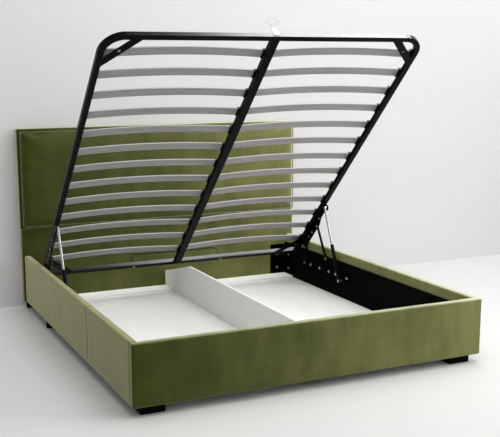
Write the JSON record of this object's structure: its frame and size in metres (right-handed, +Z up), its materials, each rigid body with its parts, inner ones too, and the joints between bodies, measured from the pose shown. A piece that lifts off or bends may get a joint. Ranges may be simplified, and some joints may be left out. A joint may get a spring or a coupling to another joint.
{
  "type": "storage bed",
  "caption": "Upholstered bed with padded headboard and a gas-lift slatted frame standing open over a divided storage box.",
  "frame": {"origin": "middle of the floor area under the open bed, on the floor", "axes": "+X to the bed's right as seen from the foot end, +Y towards the headboard, +Z up"},
  "size_m": [1.904, 2.164, 1.7479],
  "materials": {
    "velvet": "olive green velvet, soft sheen",
    "black_board": "matte black lining board",
    "white_board": "white laminated board",
    "black_steel": "satin black paint",
    "cylinder_steel": "satin dark grey paint",
    "leg_plastic": "matte black",
    "zinc": "zinc plated",
    "rod_chrome": "polished rod",
    "slat_wood": "grey lacquered plywood",
    "holder_plastic": "matte black",
    "strap_webbing": "white webbing"
  },
  "bodies": {
    "base": {"headboard_body": "velvet", "headboard_lower_panel": "velvet", "headboard_upper_pad": "velvet", "headboard_piping": "velvet", "foot_rail": "velvet", "side_rail_left": "velvet", "side_rail_right": "velvet", "side_board_left": "black_board", "side_board_right": "black_board", "floor_panel_left": "white_board", "floor_panel_right": "white_board", "floor_rear_strip": "white_board", "floor_ledge_left": "black_steel", "floor_ledge_right": "black_steel", "divider": "white_board", "floor_centre_beam": "black_steel", "centre_feet": "leg_plastic", "foot_leg_left": "leg_plastic", "foot_leg_right": "leg_plastic", "middle_leg_left": "leg_plastic", "middle_leg_right": "leg_plastic", "head_leg_left": "leg_plastic", "head_leg_right": "leg_plastic", "corner_bracket_left": "black_steel", "corner_bracket_right": "black_steel", "base_plate_left": "black_steel", "base_plate_right": "black_steel", "coach_bolts": "zinc", "base_pivot_pins": "zinc", "rest_brackets": "black_steel"},
    "front_links": {"front_link_left": "black_steel", "front_link_right": "black_steel"},
    "lift_frame": {"side_tube_left": "black_steel", "side_tube_right": "black_steel", "corner_bend_left": "black_steel", "corner_bend_right": "black_steel", "foot_tube": "black_steel", "head_tube": "black_steel", "centre_tube": "black_steel", "foot_gussets": "black_steel", "head_gussets": "black_steel", "slats_left": "slat_wood", "slats_right": "slat_wood", "slat_holders_side_left": "holder_plastic", "slat_holders_side_right": "holder_plastic", "slat_holders_centre": "holder_plastic", "arm_plate_left": "black_steel", "arm_plate_right": "black_steel", "plate_bolts": "zinc", "link_pins": "zinc", "retainer_bow": "black_steel", "retainer_nuts": "zinc", "pull_strap": "strap_webbing"},
    "rear_arms": {"rear_arm_left": "black_steel", "rear_arm_right": "black_steel"},
    "strut_cylinders": {"strut_cylinder_left": "cylinder_steel", "strut_cylinder_right": "cylinder_steel"},
    "strut_rods": {"strut_rod_left": "rod_chrome", "strut_rod_right": "rod_chrome"}
  },
  "joints": [
    {"name": "frame_lift", "type": "hinge", "parent": "base", "child": "front_links", "pos_m": [0, 0.4165, 0.2705], "axis": [1, 0, 0], "range_deg": [-64.24, 0], "stiffness_Nm_per_rad": 120, "springref_deg": 80.21},
    {"name": "frame_tilt", "type": "hinge", "parent": "front_links", "child": "lift_frame", "pos_m": [0, 0.52961, 0.46697], "axis": [1, 0, 0], "range_deg": [0, 109.29]},
    {"name": "rear_arm_swing", "type": "hinge", "parent": "base", "child": "rear_arms", "pos_m": [0, 0.696, 0.19], "axis": [1, 0, 0], "range_deg": [-71.16, 0]},
    {"name": "strut_swing", "type": "hinge", "parent": "base", "child": "strut_cylinders", "pos_m": [0, 0.218, 0.165], "axis": [1, 0, 0], "range_deg": [-43.99, 0]},
    {"name": "strut_stroke", "type": "slide", "parent": "strut_cylinders", "child": "strut_rods", "axis": [0, 0.3931, 0.9195], "range_m": [-0.2211, 0]}
  ],
  "couplings": [
    {"joint": "frame_tilt", "follows": "frame_lift", "ratio": -1.7005},
    {"joint": "rear_arm_swing", "follows": "frame_lift", "ratio": 1.1068},
    {"joint": "strut_swing", "follows": "frame_lift", "ratio": 0.68397},
    {"joint": "strut_stroke", "follows": "frame_lift", "m_per_rad": 0.19702}
  ]
}
